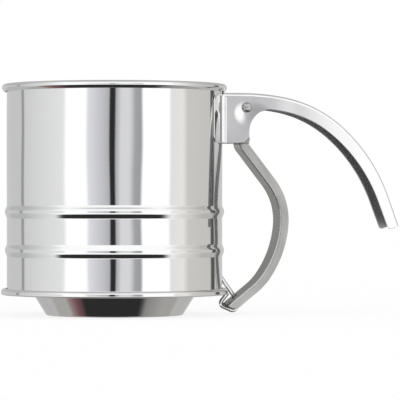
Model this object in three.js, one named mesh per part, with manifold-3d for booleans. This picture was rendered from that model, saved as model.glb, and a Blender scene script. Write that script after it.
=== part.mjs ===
// A squeeze-handle flour sifter in sheet steel and wire. Millimetres, +Z up, handle towards +X.
// Heights count from the surface that the funnel stands on. The pieces are made round the cup's
// axis, and the whole is moved at the end so that its origin is at the middle of its base.

import * as THREE from "three";
import { mergeVertices } from "three/addons/utils/BufferGeometryUtils.js";
import Module from "manifold-3d";

const wasm = await Module();
wasm.setup();

// Clearances
const seatGap = 0.3; // between pieces that are seated on or in each other
const runGap = 0.35; // round pieces that turn or slide
const overrun = 2; // how far a cutting solid reaches past what it cuts

// Cup
const cupRadius = 52.5; // outside of the wall
const cupHeight = 100.8; // from the cup's flange to the top of its rim
const cupSheet = 0.5;
const rimRollRadius = 1.45;
const flangeBend = 0.5;
const lowerBeadHeight = 20.2; // middle of the bead above the cup's flange
const lowerBeadWidth = 6.4;
const lowerBeadRise = 0.9;
const upperBeadHeight = 39;
const upperBeadWidth = 6;
const upperBeadRise = 1;

// Base ring and funnel
const funnelDepth = 10; // height of the ring's underside
const baseSheet = 0.6;
const seamReach = 2.9; // from the cup's wall to the outside of the fold that clasps its flange
const seamTopBend = 1.5;
const seamBottomBend = 0.8;
const seamLip = 0.7; // gap between the fold's lip and the cup's wall
const ringWidth = 15.9; // flat ring between the fold and the funnel
const funnelTaper = 6.2; // how much narrower the funnel is at its mouth
const funnelTopBend = 1.5;
const funnelFootBend = 1.2;
const funnelFootWidth = 1.9; // flat foot, turned inwards at the mouth

// Screen and what carries the agitator's pin
const screenThick = 0.5;
const screenPitch = 6.6;
const screenWire = 1.5; // solid between two gaps
const screenBand = 4.5; // solid rim of the screen
const screenBoss = 7; // solid middle of the screen
const bridgeWidth = 9;
const bridgeSheet = 1;
const bridgeBend = 1.6;
const bridgeTab = 5; // length of the end that lies against the funnel's cone
const pinRadius = 1.9;
const pinHeadRadius = 4;
const pinHeadHeight = 1.7;
const pinTailRadius = 3.4;
const pinTailHeight = 1;
const screenWasherRadius = 5;
const screenWasherThick = 0.8;
const hubWasherRadius = 4.6;
const hubWasherThick = 0.6;

// Agitator
const bladeCount = 4;
const bladeWire = 1; // radius of the wire
const bladeLift = 0.4; // gap between the blades and the screen
const bladeStart = 5.8; // distance of a blade's inner end from the axis
const bladeClearance = 3.4; // from its outer end to the cup's wall
const bladeTipBend = 3;
const bladeTipAngle = 70;
const bladeTip = 1; // straight end of the turned-up tip
const hubRadius = 11.5;
const hubPlate = 1.2;
const hubBossRadius = 3.9;
const crankRadius = 14; // from the agitator's axis to the crank pin
const crankEndRadius = 4.2;
const crankPinRadius = 1.5;
const crankCollarRadius = 2.5;
const crankCollarHeight = 2.4;
const rodSeat = 0.48; // from the collar to the rod's eye
const crankHeadRadius = 3.6;
const crankHeadHeight = 1.2;
const crankTailRadius = 2.5;
const crankTailHeight = 0.8;

// Handle arm: a channel with its open side down, two cheeks, and wings that lie on the cup
const armWidth = 15.8;
const armSheet = 1;
const armBend = 1.6; // outside radius between the web and the flanges
const armDrop = 3.8; // from the cup's rim down to the web
const armRun = 11.5; // straight stretch from the cup's wall
const armBendRadii = [109, 63.5, 84];
const armBendAngles = [11, 30.5, 28.5];
const armTail = 15.5; // straight stretch at the free end
const armDepth = 6.7; // depth of the flanges next to the cheeks
const armTipDepth = 4.9;
const armTipRound = 1.8;
const cheekDepth = 24.7; // from the web down to the cheeks' lower edge
const cheekReach = 13.6; // from the cup's wall to the cheeks' outer edge
const cheekRound = 5.8;
const throatRadius = 11; // hollow curve between a cheek and the flange
const wingSheet = 1;
const wingInset = 1.1; // from the web down to the wings' upper edge
const wingReach = 32.6; // from the middle plane to a wing's free edge
const wingRound = 4;

// Pivot
const pivotReach = 12.3; // from the cup's wall to the rivet
const pivotDrop = 7.1; // from the web down to the rivet
const rivetRadius = 1.6;
const rivetHeadRadius = 2.6;
const rivetHeadHeight = 1.2;
const rivetTailRadius = 2.4;
const rivetTailHeight = 0.9;
const bushWall = 0.6;
const pivotWasherRadius = 4.4;
const pivotWasherThick = 0.5;

// Squeeze lever: a channel with its open side towards the arm
const squeezeAngle = 8; // degrees from rest to fully squeezed
const leverInset = 1.1; // narrower than the arm by this much on each side
const leverSheet = 1;
const leverBend = 1.3;
const leverDepth = 4.6;
const leverSetback = 3.25; // from the rivet back to the lever's web at the neck
const leverNeckDrop = 18.2; // from the rivet down to where the web starts to bend
const leverLean = 1; // degrees that the channel leans outwards where it leaves the neck
const leverNeckRadius = 4.8;
const leverNeckAngle = 37;
const leverBendRadii = [27.9, 48.1, 28.6];
const leverBendAngles = [42.5, 30.2, 16.6];
const leverFootRound = 4.4;
const earRadius = 4.8; // round the rivet
const earDepth = 5; // at the neck
const earNotch = 1.1; // relief between the ears and the flanges below them
const earWebDrop = 5.6; // from the rivet down to the web's top edge
const flangeStep = 0.3; // straight bit of the flanges above the neck's bend
const footHoleInset = 5.1; // from the web's end to the hole for the rod
const footHoleReach = 7.81; // from the cup's wall to that hole
const footHoleDrop = 1.52; // from the ring's underside down to it
const footHoleRadius = 1.75;
const footTab = 1.2; // how far the flanges reach past the web's end

// Return spring
const springWire = 0.5; // radius of the wire
const springPitch = 1.55;
const springSideGap = 1; // from the coil to the lever's ears
const springArmLeg = 12.5; // reach of the leg under the arm
const springLeverLeg = 16; // reach of the leg along the lever

// Pull rod: an eye round the crank pin, a shank through the wall, and a loop round the lever's foot
const rodWire = 1.02; // radius of the wire
const rodSlope = 53.7; // degrees below the level, outside the wall
const rodBend = 2.5;
const rodRise = 0.9; // room for the rod to rise as the foot swings up
const eyeSlack = 0.6; // gap between the eye and the crank pin
const eyeOpening = 0.5; // gap between the eye's end and the shank
const loopRun = 1.2; // straight stretch behind the foot's web
const loopShoulder = 2.6;
const loopSide = 2.1;
const loopFootBend = 2.2;
const loopFloorSlope = 23; // degrees above the level
const loopFloor = 4.35;
const loopHeel = 2;
const loopBackSlope = 48;
const loopBack = 4.6;

// How finely round shapes are stepped
const wallSteps = 48;
const smallSteps = 16;
const bendStep = 32; // degrees a step, in small bends
const bowStep = 6; // degrees a step, in the handle's long bends
const wireStep = 24;
const wireSides = 8;
const springSides = 5;
const springSteps = 8; // a turn
const beadSteps = 4;

const degree = Math.PI / 180;
const flat = (x, y) => new THREE.Vector2(x, y);
const along = (length, angle) => flat(length * Math.cos(angle), length * Math.sin(angle));
const leftOf = (direction) => flat(-direction.y, direction.x);

// A line drawn by runs and turns. A turn to the left is positive, and angles are in degrees.
function trace(start, headingAngle, moves, step) {
  const points = [start.clone()];
  let heading = headingAngle * degree;
  for (const move of moves) {
    const from = points[points.length - 1];
    if ("run" in move) {
      points.push(from.clone().add(along(move.run, heading)));
      continue;
    }
    const side = Math.sign(move.turn) * move.radius;
    const centre = from.clone().addScaledVector(leftOf(along(1, heading)), side);
    const steps = Math.max(1, Math.ceil(Math.abs(move.turn) / step));
    for (let i = 1; i <= steps; i += 1) {
      const angle = heading + (move.turn * degree * i) / steps;
      points.push(centre.clone().addScaledVector(leftOf(along(1, angle)), -side));
    }
    heading += move.turn * degree;
  }
  return points;
}

// The same line moved to its left, with its corners mitred.
function shifted(points, distance) {
  const amounts = Array.isArray(distance) ? distance : points.map(() => distance);
  return points.map((point, i) => {
    const before = i > 0 ? point.clone().sub(points[i - 1]).normalize() : null;
    const after = i < points.length - 1 ? points[i + 1].clone().sub(point).normalize() : null;
    const first = leftOf(before ?? after);
    const second = leftOf(after ?? before);
    const mitre = first.clone().add(second).divideScalar(1 + first.dot(second));
    return point.clone().addScaledVector(mitre, amounts[i]);
  });
}

// The outline of a sheet whose one side is the given line and which lies to its left.
const ribbon = (points, thickness) => [...points, ...shifted(points, thickness).reverse()];

// A polygon, or an open line, whose corners [x, y, radius] are rounded by arcs.
function rounded(corners, step, open = false) {
  const count = corners.length;
  return corners.flatMap(([x, y, radius], i) => {
    const corner = flat(x, y);
    const isEnd = open && (i === 0 || i === count - 1);
    if (radius === 0 || isEnd) return [corner];
    const [beforeX, beforeY] = corners[(i + count - 1) % count];
    const [afterX, afterY] = corners[(i + 1) % count];
    const arrive = corner.clone().sub(flat(beforeX, beforeY)).normalize();
    const leave = flat(afterX, afterY).sub(corner).normalize();
    const turn = Math.atan2(arrive.cross(leave), arrive.dot(leave));
    const cut = radius * Math.tan(Math.abs(turn) / 2);
    const start = corner.clone().addScaledVector(arrive, -cut);
    return trace(start, arrive.angle() / degree, [{ turn: turn / degree, radius }], step);
  });
}

// Keeps only positions, with shared corners merged and the faces pointing out.
function closed(geometry) {
  geometry.deleteAttribute("normal");
  geometry.deleteAttribute("uv");
  const body = mergeVertices(geometry, 1e-4);
  const corner = [new THREE.Vector3(), new THREE.Vector3(), new THREE.Vector3()];
  const index = Array.from(body.index.array);
  const faces = [];
  let volume = 0;
  for (let i = 0; i < index.length; i += 3) {
    const [a, b, c] = index.slice(i, i + 3);
    if (a === b || b === c || c === a) continue;
    faces.push([a, b, c]);
    corner.forEach((point, k) => point.fromBufferAttribute(body.attributes.position, index[i + k]));
    volume += corner[0].dot(corner[1].clone().cross(corner[2]));
  }
  body.setIndex(faces.flatMap(([a, b, c]) => (volume < 0 ? [a, c, b] : [a, b, c])));
  return body;
}

function toSolid(geometry) {
  const body = closed(geometry);
  const vertProperties = new Float32Array(body.attributes.position.array);
  const triVerts = new Uint32Array(body.index.array);
  return new wasm.Manifold(new wasm.Mesh({ numProp: 3, vertProperties, triVerts }));
}

function fromSolid(solid) {
  const mesh = solid.getMesh();
  const geometry = new THREE.BufferGeometry();
  geometry.setAttribute("position", new THREE.BufferAttribute(mesh.vertProperties, 3));
  geometry.setIndex(Array.from(mesh.triVerts));
  return geometry;
}

// A body turned round the Z axis, from an outline of radius and height.
function turned(outline, steps) {
  const geometry = new THREE.LatheGeometry([...outline, outline[0].clone()], steps);
  return geometry.rotateX(Math.PI / 2);
}

// The same for an outline that starts and ends on the axis.
const turnedFull = (outline, steps) => new THREE.LatheGeometry(outline, steps).rotateX(Math.PI / 2);

// A plate from low to high, whose outline is seen from above.
function plate(outline, low, high, holes = []) {
  const shape = new THREE.Shape(outline);
  shape.holes = holes.map((hole) => new THREE.Path(hole));
  const geometry = new THREE.ExtrudeGeometry(shape, { depth: high - low, bevelEnabled: false });
  return geometry.translate(0, 0, low);
}

// A plate that stands along X and Z, centred on the middle plane.
const upright = (outline, width) => plate(outline, -width / 2, width / 2).rotateX(Math.PI / 2);

const circle = (radius, steps, x = 0, y = 0) =>
  Array.from({ length: steps }, (_, i) => along(radius, (2 * Math.PI * i) / steps).add(flat(x, y)));

const rectangle = (left, bottom, right, top) => [
  flat(left, bottom),
  flat(right, bottom),
  flat(right, top),
  flat(left, top),
];

// A round tube or washer between two heights.
const tube = (inner, outer, low, high, steps) => turned(rectangle(inner, low, outer, high), steps);

// A curve given by its stations, which an extrusion steps through one by one.
class Stations extends THREE.Curve {
  constructor(points) {
    super();
    this.points = points;
  }

  getPoint(share, target = new THREE.Vector3()) {
    const place = share * (this.points.length - 1);
    const i = Math.min(Math.round(place), this.points.length - 1);
    return target.copy(this.points[i]);
  }

  getPointAt(share, target) {
    return this.getPoint(share, target);
  }

  getTangentAt(share, target = new THREE.Vector3()) {
    const last = this.points.length - 1;
    const i = Math.round(share * last);
    const before = this.points[Math.max(i - 1, 0)];
    const here = this.points[i];
    const after = this.points[Math.min(i + 1, last)];
    const arrive = here.clone().sub(before).normalize();
    const leave = after.clone().sub(here).normalize();
    return target.copy(arrive).add(leave).normalize();
  }
}

// The same in the upright middle plane, with a section that keeps its thickness round the bends.
class UprightStations extends Stations {
  computeFrenetFrames(segments) {
    const places = Array.from({ length: segments + 1 }, (_, i) => i / segments);
    const tangents = places.map((share) => this.getTangentAt(share));
    const line = this.points.map((point) => flat(point.x, point.z));
    const moved = shifted(line, 1);
    const normals = moved.map((point, i) => new THREE.Vector3(point.x - line[i].x, 0, point.y - line[i].y));
    const binormals = places.map(() => new THREE.Vector3(0, -1, 0));
    return { tangents, normals, binormals };
  }
}

const standing = (point) => new THREE.Vector3(point.x, 0, point.y);

function wire(points, radius, sides) {
  return new THREE.ExtrudeGeometry(new THREE.Shape(circle(radius, sides)), {
    steps: points.length - 1,
    extrudePath: new Stations(points),
    bevelEnabled: false,
  });
}

// A folded channel along a line in the middle plane. The line is the outside of the web, and
// the flanges stand to its left where side is 1 and to its right where side is -1.
function channel(line, width, depth, sheet, bend, side) {
  const half = width / 2;
  const section = rounded(
    [
      [0, -half, bend],
      [0, half, bend],
      [side * depth, half, 0],
      [side * depth, half - sheet, 0],
      [side * sheet, half - sheet, bend - sheet],
      [side * sheet, sheet - half, bend - sheet],
      [side * depth, sheet - half, 0],
      [side * depth, -half, 0],
    ],
    bendStep + bendStep / 2,
  );
  return new THREE.ExtrudeGeometry(new THREE.Shape(section), {
    steps: line.length - 1,
    extrudePath: new UprightStations(line.map(standing)),
    bevelEnabled: false,
  });
}

// A round bar along Y, at a place in the middle plane.
const crossBar = (outline, x, z) =>
  turnedFull(outline, smallSteps)
    .rotateX(Math.PI / 2)
    .translate(x, 0, z);

// A sleeve along Y, at a place in the middle plane.
const crossSleeve = (inner, outer, from, to, x, z) =>
  tube(inner, outer, from, to, smallSteps)
    .rotateX(Math.PI / 2)
    .translate(x, 0, z);

const crossHole = (radius, length, x, z) =>
  toSolid(upright(circle(radius, smallSteps, x, z), length));

// The height of a line at a given reach.
function heightAt(line, x) {
  const i = line.findIndex((point, k) => k > 0 && point.x >= x);
  const [a, b] = [line[i - 1], line[i]];
  return a.y + ((b.y - a.y) * (x - a.x)) / (b.x - a.x);
}

// The least gap between stretches of one wire that lie more than apart along it.
function leastGap(points, radius, apart) {
  const dense = points.slice(1).flatMap((point, i) => {
    const count = Math.ceil((point.distanceTo(points[i]) / radius) * 2);
    return Array.from({ length: count }, (_, k) => points[i].clone().lerp(point, k / count));
  });
  const reach = [0];
  dense.slice(1).forEach((point, i) => reach.push(reach[i] + point.distanceTo(dense[i])));
  const length = reach[reach.length - 1];
  const inside = dense
    .map((point, i) => ({ point, place: reach[i] }))
    .filter(({ place }) => place > radius && place < length - radius);
  let least = Infinity;
  inside.forEach((a, i) => {
    inside.slice(i + 1).forEach((b) => {
      if (b.place - a.place > apart) least = Math.min(least, a.point.distanceTo(b.point));
    });
  });
  return least - 2 * radius;
}

// Heights of the layers, from the base up
const ringTop = funnelDepth + baseSheet;
const screenBottom = ringTop + seatGap;
const screenTop = screenBottom + screenThick;
const cupFloor = screenTop + seatGap;
const flangeTop = cupFloor + cupSheet;
const seamTop = flangeTop + seatGap + baseSheet;
const rimTop = cupFloor + cupHeight;
const seamRadius = cupRadius + seamReach;
const flangeRadius = seamRadius - seamTopBend;
const funnelTopRadius = seamRadius - ringWidth;
const funnelMouthRadius = funnelTopRadius - funnelTaper;
const wallInside = cupRadius - cupSheet;

// Heights of the pieces on the centre pin
const bridgeTop = screenBottom - seatGap;
const bridgeBottom = bridgeTop - bridgeSheet;
const screenWasherBottom = screenTop + seatGap;
const screenWasherTop = screenWasherBottom + screenWasherThick;
const bladeHeight = screenTop + bladeLift + bladeWire;
const hubBottom = bladeHeight + bladeWire + seatGap;
const hubTop = hubBottom + hubPlate;
const hubBossBottom = screenWasherTop + seatGap;
const hubWasherBottom = hubTop + seatGap;
const hubWasherTop = hubWasherBottom + hubWasherThick;
const pinHeadBottom = hubWasherTop + seatGap;
const bladeReach = wallInside - bladeClearance;
const collarBottom = hubTop + seatGap;
const collarTop = collarBottom + crankCollarHeight;
const rodHeight = collarTop + rodSeat + rodWire;

// Places in the handle
const armTop = rimTop - armDrop;
const cheekFoot = armTop - cheekDepth;
const wingTop = armTop - wingInset;
const pivotX = cupRadius + pivotReach;
const pivotHeight = armTop - pivotDrop;
const armInside = armWidth - 2 * armSheet;
const earWidth = armInside - 2 * (pivotWasherThick + 2 * seatGap);
const bushRadius = rivetRadius + seatGap + bushWall;
const leverWidth = armWidth - 2 * leverInset;
const springRoom = earWidth - 2 * (leverSheet + springWire + springSideGap);
const springTurns = Math.floor(springRoom / springPitch);

// The arm's web, from the cup outwards, and the lower edge of its flanges
const armLine = trace(
  flat(cupRadius, armTop),
  0,
  [
    { run: armRun },
    ...armBendRadii.map((radius, i) => ({ turn: -armBendAngles[i], radius })),
    { run: armTail },
  ],
  bowStep,
);
const armReach = armLine.map((_, i) => {
  const steps = armLine.slice(0, i).map((point, k) => point.distanceTo(armLine[k + 1]));
  return steps.reduce((sum, step) => sum + step, 0);
});
const armLength = armReach[armReach.length - 1];
const armDepths = armReach.map((reach) => -armDepth + ((armDepth - armTipDepth) * reach) / armLength);
const armLowerLine = shifted(armLine, armDepths);

// The lever's web, from the neck down to the foot. Its two straight stretches are as long as
// it takes to bring the foot's hole to its place beside the cup.
const leverX = pivotX - leverSetback;
const leverPath = (slopeRun, footRun) =>
  trace(
    flat(leverX, pivotHeight - leverNeckDrop + flangeStep),
    leverLean - 90,
    [
      { run: flangeStep },
      { turn: leverNeckAngle, radius: leverNeckRadius },
      { run: slopeRun },
      ...leverBendRadii.map((radius, i) => ({ turn: -leverBendAngles[i], radius })),
      { run: footRun },
    ],
    bowStep,
  );
const slopeHeading = (leverLean + leverNeckAngle - 90) * degree;
const footHeading = slopeHeading - leverBendAngles.reduce((sum, angle) => sum + angle, 0) * degree;
const slopeDirection = along(1, slopeHeading);
const footDirection = along(1, footHeading);
const footHole = flat(cupRadius + footHoleReach, funnelDepth - footHoleDrop);
const bendsEnd = leverPath(0, 0).pop();
const missing = footHole.clone().sub(bendsEnd);
const between = slopeDirection.cross(footDirection);
const leverLine = leverPath(
  missing.cross(footDirection) / between,
  slopeDirection.cross(missing) / between + footHoleInset,
);
const footEnd = leverLine[leverLine.length - 1];

// The linkage. The crank stands square to the pull at the middle of the stroke.
const footArm = flat(footHole.x - pivotX, footHole.y - pivotHeight);
const footSwung = footArm.clone().rotateAround(flat(0, 0), squeezeAngle * degree);
const stroke = footSwung.x - footArm.x;
const crankHalfSweep = Math.asin(stroke / 2 / crankRadius);
const crankRest = -Math.PI / 2 - crankHalfSweep;
const crankSag = crankRadius * (1 - Math.cos(crankHalfSweep));
const eyeBend = crankPinRadius + eyeSlack + rodWire;
const eyeOffset = eyeBend + crankSag / 2;
const eyeCentre = flat(-stroke / 2, crankSag / 2 - crankRadius);
const eyeToHole = flat(footHole.x, 0).sub(eyeCentre);
const rodTurn = eyeToHole.angle() - Math.asin(eyeOffset / eyeToHole.length());
const rodLength = Math.sqrt(eyeToHole.lengthSq() - eyeOffset ** 2);

function makeCup() {
  const bead = (middle, width, rise) =>
    Array.from({ length: beadSteps + 1 }, (_, i) => {
      const place = (i / beadSteps) * 2 - 1;
      const swell = (rise * (1 + Math.cos(Math.PI * place))) / 2;
      return flat(cupRadius + swell, cupFloor + middle + (place * width) / 2);
    });
  const rollInside = rimRollRadius - cupSheet;
  const rollCloses = Math.acos((rollInside - seatGap) / rimRollRadius) / degree;
  const outside = [
    ...rounded(
      [
        [flangeRadius, flangeTop, 0],
        [cupRadius, flangeTop, flangeBend],
        [cupRadius, rimTop, 0],
      ],
      bendStep * 2,
      true,
    ).slice(0, -1),
    ...bead(lowerBeadHeight, lowerBeadWidth, lowerBeadRise),
    ...bead(upperBeadHeight, upperBeadWidth, upperBeadRise),
    ...trace(
      flat(cupRadius, rimTop - rimRollRadius),
      90,
      [{ turn: rollCloses - 360, radius: rollInside }],
      bendStep + bendStep / 4,
    ),
  ];
  const shell = toSolid(turned(ribbon(outside, cupSheet), wallSteps));
  return fromSolid(shell.subtract(toSolid(rodSlot())));
}

// The slot that the pull rod's shank moves in, as wide as the stroke makes it.
function rodSlot() {
  const wallMiddle = cupRadius - cupSheet / 2;
  const atRest = (wallMiddle - footHole.x) * Math.tan(rodTurn);
  const pulled = (wallMiddle - footHole.x - stroke) * Math.tan(rodTurn);
  const margin = rodWire + 2 * runGap;
  const left = Math.min(atRest, pulled) - margin;
  const right = Math.max(atRest, pulled) + margin;
  const low = rodHeight - rodBend - rodWire;
  const high = rodHeight + rodWire + rodRise;
  const outline = rounded(
    [
      [left, low, rodWire],
      [right, low, rodWire],
      [right, high, rodWire],
      [left, high, rodWire],
    ],
    bendStep + bendStep / 2,
  );
  // Turned so that the outline's x runs along Y and its y runs up.
  return plate(outline, cupRadius - cupSheet - overrun, cupRadius + overrun)
    .rotateZ(Math.PI / 2)
    .rotateY(Math.PI / 2);
}

function makeBaseFunnel() {
  const outside = rounded(
    [
      [cupRadius + seamLip, seamTop, 0],
      [seamRadius, seamTop, seamTopBend],
      [seamRadius, funnelDepth, seamBottomBend],
      [funnelTopRadius, funnelDepth, funnelTopBend],
      [funnelMouthRadius, 0, funnelFootBend],
      [funnelMouthRadius - funnelFootWidth, 0, 0],
    ],
    bendStep + bendStep / 2,
    true,
  );
  return closed(turned(ribbon(outside, -baseSheet), wallSteps));
}

function makeScreen() {
  const gap = screenPitch - screenWire;
  const reach = flangeRadius - screenBand;
  const rows = Math.floor(reach / screenPitch) + 1;
  const cutters = [circle(pinRadius + seatGap, smallSteps)];
  for (let row = -rows; row < rows; row += 1) {
    for (let column = -rows; column < rows; column += 1) {
      const left = column * screenPitch + screenWire / 2;
      const bottom = row * screenPitch + screenWire / 2;
      const hole = rectangle(left, bottom, left + gap, bottom + gap);
      const spans = hole.map((corner) => corner.length());
      if (Math.max(...spans) < reach && Math.min(...spans) > screenBoss) cutters.push(hole);
    }
  }
  console.log(`sieve_mesh: ${cutters.length - 1} gaps between its wires`);
  const disc = toSolid(plate(circle(flangeRadius, wallSteps), screenBottom, screenTop));
  const from = screenBottom - overrun;
  const to = screenTop + overrun;
  const cuts = cutters.map((outline) => toSolid(plate(outline, from, to)));
  return fromSolid(wasm.Manifold.difference([disc, ...cuts]));
}

// A strip across the funnel, its ends folded down along the cone.
function makeBridge() {
  const fall = flat(funnelMouthRadius - funnelTopRadius, -funnelDepth).normalize();
  const inwards = leftOf(fall).negate();
  const inner = flat(funnelTopRadius, funnelDepth).addScaledVector(inwards, baseSheet + seatGap);
  const corner = inner.clone().addScaledVector(fall, (bridgeTop - inner.y) / fall.y);
  const foot = corner.clone().addScaledVector(fall, bridgeTab);
  const top = rounded(
    [
      [-foot.x, foot.y, 0],
      [-corner.x, corner.y, bridgeBend],
      [corner.x, corner.y, bridgeBend],
      [foot.x, foot.y, 0],
    ],
    bendStep,
    true,
  );
  const strip = toSolid(upright(ribbon(top, -bridgeSheet), bridgeWidth).rotateZ(Math.PI / 2));
  const hole = plate(circle(pinRadius + seatGap, smallSteps), 0, ringTop + overrun);
  return fromSolid(strip.subtract(toSolid(hole)));
}

function makeCentrePin() {
  const domeShoulder = pinHeadBottom + pinHeadHeight / 3;
  const outline = [
    flat(0, bridgeBottom - seatGap - pinTailHeight),
    flat(pinTailRadius - pinTailHeight / 2, bridgeBottom - seatGap - pinTailHeight),
    flat(pinTailRadius, bridgeBottom - seatGap - pinTailHeight / 2),
    flat(pinTailRadius, bridgeBottom - seatGap),
    flat(pinRadius, bridgeBottom - seatGap),
    flat(pinRadius, pinHeadBottom),
    flat(pinHeadRadius, pinHeadBottom),
    flat(pinHeadRadius, domeShoulder),
    ...dome(pinHeadRadius, domeShoulder, pinHeadBottom + pinHeadHeight),
  ];
  return closed(turnedFull(outline, smallSteps));
}

// The quarter of a dome above its shoulder, up to the axis.
function dome(radius, shoulder, top) {
  return [1, 2, 3].map((i) => {
    const angle = (i / 3) * (Math.PI / 2);
    const reach = i === 3 ? 0 : radius * Math.cos(angle);
    return flat(reach, shoulder + (top - shoulder) * Math.sin(angle));
  });
}

function makeHub() {
  const wrap = Math.acos((hubRadius - crankEndRadius) / crankRadius);
  const arc = (radius, from, to, x) => {
    const steps = Math.ceil((to - from) / (bendStep / 2 * degree));
    return Array.from({ length: steps + 1 }, (_, i) =>
      along(radius, from + ((to - from) * i) / steps).add(flat(x, 0)),
    );
  };
  const outline = [
    ...arc(hubRadius, wrap, 2 * Math.PI - wrap, 0),
    ...arc(crankEndRadius, -wrap, wrap, crankRadius),
  ];
  const holes = [
    circle(pinRadius + runGap, smallSteps),
    circle(crankPinRadius + seatGap, smallSteps, crankRadius),
  ];
  const disc = toSolid(plate(outline, hubBottom, hubTop, holes));
  const boss = tube(pinRadius + runGap, hubBossRadius, hubBossBottom, hubTop, smallSteps);
  return fromSolid(disc.add(toSolid(boss)));
}

// One wire of the agitator, from under the hub to its turned-up tip.
function makeBlade() {
  const tipStart = bladeReach - bladeWire - bladeTipBend;
  const line = trace(
    flat(bladeStart, bladeHeight),
    0,
    [{ run: tipStart - bladeStart }, { turn: bladeTipAngle, radius: bladeTipBend }, { run: bladeTip }],
    wireStep,
  );
  return closed(wire(line.map(standing), bladeWire, wireSides - 2));
}

function makeCrankPin() {
  const tailBottom = hubBottom - seatGap - crankTailHeight;
  const headBottom = rodHeight + rodWire + rodRise;
  const outline = [
    flat(0, tailBottom),
    flat(crankTailRadius, tailBottom),
    flat(crankTailRadius, hubBottom - seatGap),
    flat(crankPinRadius, hubBottom - seatGap),
    flat(crankPinRadius, collarBottom),
    flat(crankCollarRadius, collarBottom),
    flat(crankCollarRadius, collarTop),
    flat(crankPinRadius, collarTop),
    flat(crankPinRadius, headBottom),
    flat(crankHeadRadius, headBottom),
    ...dome(crankHeadRadius, headBottom, headBottom + crankHeadHeight),
  ];
  return closed(turnedFull(outline, smallSteps));
}

// The rod in its own frame: u runs along the shank from the foot's hole, v to its left, z up.
function makeRod() {
  const slope = rodSlope * degree;
  const corner = -(rodHeight - footHole.y) / Math.tan(slope);
  const tangent = rodBend * Math.tan(slope / 2);
  const sloped = (rodHeight - footHole.y) / Math.sin(slope) - tangent;
  const eyeStraight = crankSag;
  const closing = eyeStraight + eyeBend - rodWire - eyeOpening;
  const eye = trace(
    flat(-rodLength, 0),
    180,
    [
      { turn: 90, radius: eyeBend },
      { run: eyeStraight },
      { turn: 180, radius: eyeBend },
      { run: closing },
    ],
    wireStep + wireStep / 4,
  );
  const shank = trace(
    flat(-rodLength, rodHeight),
    0,
    [
      { run: rodLength + corner - tangent },
      { turn: -rodSlope, radius: rodBend },
      { run: sloped + loopRun },
      { turn: rodSlope - 90, radius: loopShoulder },
      { run: loopSide },
      { turn: -90 - loopFloorSlope, radius: loopFootBend },
      { run: loopFloor },
      { turn: loopFloorSlope + loopBackSlope - 180, radius: loopHeel },
      { run: loopBack },
    ],
    wireStep,
  );
  const points = [
    ...eye.reverse().map((point) => new THREE.Vector3(point.x, point.y, rodHeight)),
    ...shank.slice(1).map(standing),
  ];
  console.log(`pull_rod: least gap to itself ${leastGap(points, rodWire, 6 * rodWire).toFixed(2)} mm`);
  return closed(wire(points, rodWire, wireSides));
}

function makeArm() {
  const cheekEdge = cupRadius + cheekReach;
  const throatX = cheekEdge + throatRadius;
  const throatHeight = heightAt(armLowerLine, throatX) - throatRadius;
  const below = armLowerLine.filter((point) => point.x > throatX);
  const tipLower = below.pop();
  const tipUpper = armLine[armLine.length - 1];
  const outline = [
    ...shifted(armLine, overrun),
    ...rounded(
      [
        [tipUpper.x, tipUpper.y, 0],
        [tipLower.x, tipLower.y, armTipRound],
        [below[below.length - 1].x, below[below.length - 1].y, 0],
      ],
      bendStep,
      true,
    ),
    ...below.reverse().slice(1),
    ...trace(
      flat(throatX, throatHeight + throatRadius),
      180,
      [
        { turn: 90, radius: throatRadius },
        { run: Math.max(throatHeight - cheekFoot - cheekRound, 0) },
        { turn: -90, radius: Math.min(cheekRound, throatHeight - cheekFoot) },
      ],
      bendStep / 2,
    ),
    flat(cupRadius - overrun, cheekFoot),
    flat(cupRadius - overrun, armTop + overrun),
  ];
  const folded = toSolid(channel(armLine, armWidth, armTop - cheekFoot + overrun, armSheet, armBend, -1));
  const arm = folded.intersect(toSolid(upright(outline, armWidth + overrun)));
  const wings = makeWings();
  const cupSpace = toSolid(plate(circle(cupRadius + seatGap, wallSteps), 0, rimTop));
  const rivetHole = crossHole(rivetRadius + seatGap, armWidth + overrun, pivotX, pivotHeight);
  return fromSolid(arm.add(wings).subtract(cupSpace).subtract(rivetHole));
}

// Two curved wings that lie on the cup's wall, one beside each cheek.
function makeWings() {
  const inside = cupRadius + seatGap;
  const outside = inside + wingSheet;
  const sweep = Math.PI / 4;
  const steps = wallSteps / 4;
  const arc = (radius) =>
    Array.from({ length: steps + 1 }, (_, i) => along(radius, -sweep + (2 * sweep * i) / steps));
  const shell = toSolid(plate([...arc(outside), ...arc(inside - overrun).reverse()], cheekFoot, wingTop));
  const blank = (left, right) =>
    toSolid(
      plate(
        rounded(
          [
            [left, cheekFoot, left > 0 ? 0 : wingRound],
            [right, cheekFoot, left > 0 ? wingRound : 0],
            [right, wingTop, left > 0 ? wingRound : 0],
            [left, wingTop, left > 0 ? 0 : wingRound],
          ],
          bendStep / 2,
        ),
        0,
        outside + overrun,
      )
        .rotateZ(Math.PI / 2)
        .rotateY(Math.PI / 2),
    );
  const inner = armInside / 2;
  return shell.intersect(blank(inner, wingReach).add(blank(-wingReach, -inner)));
}

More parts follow.
